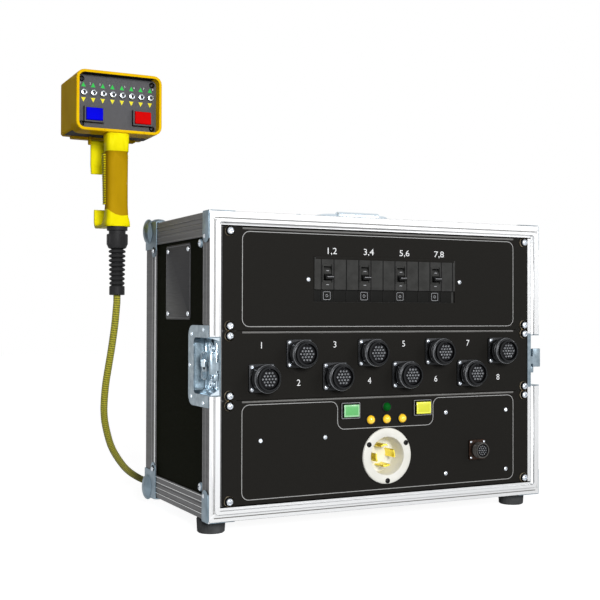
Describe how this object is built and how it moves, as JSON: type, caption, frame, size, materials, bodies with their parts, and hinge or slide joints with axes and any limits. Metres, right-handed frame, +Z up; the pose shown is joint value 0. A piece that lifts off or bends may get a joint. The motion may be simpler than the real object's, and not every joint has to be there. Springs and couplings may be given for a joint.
{
  "type": "hoist motor controller",
  "caption": "Rack flight case with breaker, output and input panels for chain hoist motors, and a pistol-grip pendant remote on a coiled cord.",
  "frame": {"origin": "floor under the middle of the case and pendant together, the cord, its coil and its plug left out", "axes": "+Z up, -Y out of the panels towards the user, +X to the right seen from the front"},
  "size_m": [0.6328, 0.5328, 0.6324],
  "materials": {
    "black_steel": "black textured powder coat",
    "aluminium": "brushed anodised extrusion",
    "chrome": "bright nickel plate",
    "laminate": "black laminate on plywood",
    "rubber": "black rubber",
    "grey_plastic": "moulded grey plastic, satin",
    "black_plastic": "moulded black plastic, satin",
    "white_plastic": "moulded white nylon, satin",
    "yellow_plastic": "yellow moulded plastic",
    "green_plastic": "green lens plastic",
    "blue_plastic": "blue moulded plastic",
    "red_plastic": "red moulded plastic",
    "amber_plastic": "amber lens plastic",
    "braid": "green and yellow woven sleeve"
  },
  "bodies": {
    "case": {"ball_corner_1": "chrome", "ball_corner_2": "chrome", "ball_corner_3": "chrome", "ball_corner_4": "chrome", "bottom_panel": "laminate", "breaker_bank": "black_plastic", "breaker_chassis": "black_steel", "connector_1": "black_steel", "connector_2": "black_steel", "connector_3": "black_steel", "connector_4": "black_steel", "connector_5": "black_steel", "connector_6": "black_steel", "connector_7": "black_steel", "connector_8": "black_steel", "cord": "braid", "cord_coil": "braid", "cord_gland": "black_plastic", "edge_frame": "aluminium", "foot_1": "rubber", "foot_2": "rubber", "foot_3": "rubber", "foot_4": "rubber", "front_frame": "aluminium", "inlet": "white_plastic", "input_chassis": "black_steel", "lamp_board": "amber_plastic", "latch_dish_left": "chrome", "latch_dish_right": "chrome", "left_panel": "laminate", "output_chassis": "black_steel", "pendant_face": "grey_plastic", "pendant_grip": "yellow_plastic", "pendant_housing": "yellow_plastic", "plug": "black_plastic", "rear_panel": "laminate", "remote_socket": "black_steel", "right_panel": "laminate", "top_handle_plate": "chrome", "top_panel": "laminate"},
    "breaker_handle_1": {"breaker_handle_1": "black_plastic"},
    "breaker_handle_2": {"breaker_handle_2": "black_plastic"},
    "breaker_handle_3": {"breaker_handle_3": "black_plastic"},
    "breaker_handle_4": {"breaker_handle_4": "black_plastic"},
    "toggle_1": {"toggle_1": "chrome"},
    "toggle_2": {"toggle_2": "chrome"},
    "toggle_3": {"toggle_3": "chrome"},
    "toggle_4": {"toggle_4": "chrome"},
    "toggle_5": {"toggle_5": "chrome"},
    "toggle_6": {"toggle_6": "chrome"},
    "toggle_7": {"toggle_7": "chrome"},
    "toggle_8": {"toggle_8": "chrome"},
    "trigger": {"trigger": "yellow_plastic"},
    "go_button": {"go_button": "blue_plastic"},
    "stop_button": {"stop_button": "red_plastic"},
    "green_button": {"green_button": "green_plastic"},
    "yellow_button": {"yellow_button": "yellow_plastic"},
    "latch_wing_right": {"latch_wing_right": "chrome"},
    "latch_wing_left": {"latch_wing_left": "chrome"},
    "top_handle_bail": {"top_handle_bail": "chrome"}
  },
  "joints": [
    {"name": "breaker_handle_1_turn", "type": "hinge", "parent": "case", "child": "breaker_handle_1", "pos_m": [-0.04333, -0.1515, 0.336], "axis": [-1, 0, 0], "range_deg": [0, 50]},
    {"name": "breaker_handle_2_turn", "type": "hinge", "parent": "case", "child": "breaker_handle_2", "pos_m": [0.01367, -0.1515, 0.336], "axis": [-1, 0, 0], "range_deg": [0, 50]},
    {"name": "breaker_handle_3_turn", "type": "hinge", "parent": "case", "child": "breaker_handle_3", "pos_m": [0.07068, -0.1515, 0.336], "axis": [-1, 0, 0], "range_deg": [0, 50]},
    {"name": "breaker_handle_4_turn", "type": "hinge", "parent": "case", "child": "breaker_handle_4", "pos_m": [0.12768, -0.1515, 0.336], "axis": [-1, 0, 0], "range_deg": [0, 50]},
    {"name": "toggle_1_turn", "type": "hinge", "parent": "case", "child": "toggle_1", "pos_m": [-0.30268, 0.1013, 0.6014], "axis": [1, 0, 0], "range_deg": [-15, 15]},
    {"name": "toggle_2_turn", "type": "hinge", "parent": "case", "child": "toggle_2", "pos_m": [-0.28837, 0.1013, 0.6014], "axis": [1, 0, 0], "range_deg": [-15, 15]},
    {"name": "toggle_3_turn", "type": "hinge", "parent": "case", "child": "toggle_3", "pos_m": [-0.27408, 0.1013, 0.6014], "axis": [1, 0, 0], "range_deg": [-15, 15]},
    {"name": "toggle_4_turn", "type": "hinge", "parent": "case", "child": "toggle_4", "pos_m": [-0.25977, 0.1013, 0.6014], "axis": [1, 0, 0], "range_deg": [-15, 15]},
    {"name": "toggle_5_turn", "type": "hinge", "parent": "case", "child": "toggle_5", "pos_m": [-0.24547, 0.1013, 0.6014], "axis": [1, 0, 0], "range_deg": [-15, 15]},
    {"name": "toggle_6_turn", "type": "hinge", "parent": "case", "child": "toggle_6", "pos_m": [-0.23117, 0.1013, 0.6014], "axis": [1, 0, 0], "range_deg": [-15, 15]},
    {"name": "toggle_7_turn", "type": "hinge", "parent": "case", "child": "toggle_7", "pos_m": [-0.21688, 0.1013, 0.6014], "axis": [1, 0, 0], "range_deg": [-15, 15]},
    {"name": "toggle_8_turn", "type": "hinge", "parent": "case", "child": "toggle_8", "pos_m": [-0.20258, 0.1013, 0.6014], "axis": [1, 0, 0], "range_deg": [-15, 15]},
    {"name": "trigger_turn", "type": "hinge", "parent": "case", "child": "trigger", "pos_m": [-0.25262, 0.1675, 0.5405], "axis": [-1, 0, 0], "range_deg": [0, 10], "stiffness_Nm_per_rad": 0.1},
    {"name": "go_button_press", "type": "slide", "parent": "case", "child": "go_button", "axis": [0, 1, 0], "range_m": [0, 0.002], "stiffness_N_per_m": 200},
    {"name": "stop_button_press", "type": "slide", "parent": "case", "child": "stop_button", "axis": [0, 1, 0], "range_m": [0, 0.002], "stiffness_N_per_m": 200},
    {"name": "green_button_press", "type": "slide", "parent": "case", "child": "green_button", "axis": [0, 1, 0], "range_m": [0, 0.003], "stiffness_N_per_m": 200},
    {"name": "yellow_button_press", "type": "slide", "parent": "case", "child": "yellow_button", "axis": [0, 1, 0], "range_m": [0, 0.003], "stiffness_N_per_m": 200},
    {"name": "latch_wing_right_turn", "type": "hinge", "parent": "case", "child": "latch_wing_right", "pos_m": [0.30073, -0.1325, 0.21525], "axis": [1, 0, 0], "range_deg": [0, 180]},
    {"name": "latch_wing_left_turn", "type": "hinge", "parent": "case", "child": "latch_wing_left", "pos_m": [-0.20338, -0.1325, 0.21525], "axis": [-1, 0, 0], "range_deg": [0, 180]},
    {"name": "top_handle_bail_turn", "type": "hinge", "parent": "case", "child": "top_handle_bail", "pos_m": [0.04868, -0.0085, 0.4205], "axis": [-1, 0, 0], "range_deg": [0, 90]}
  ]
}
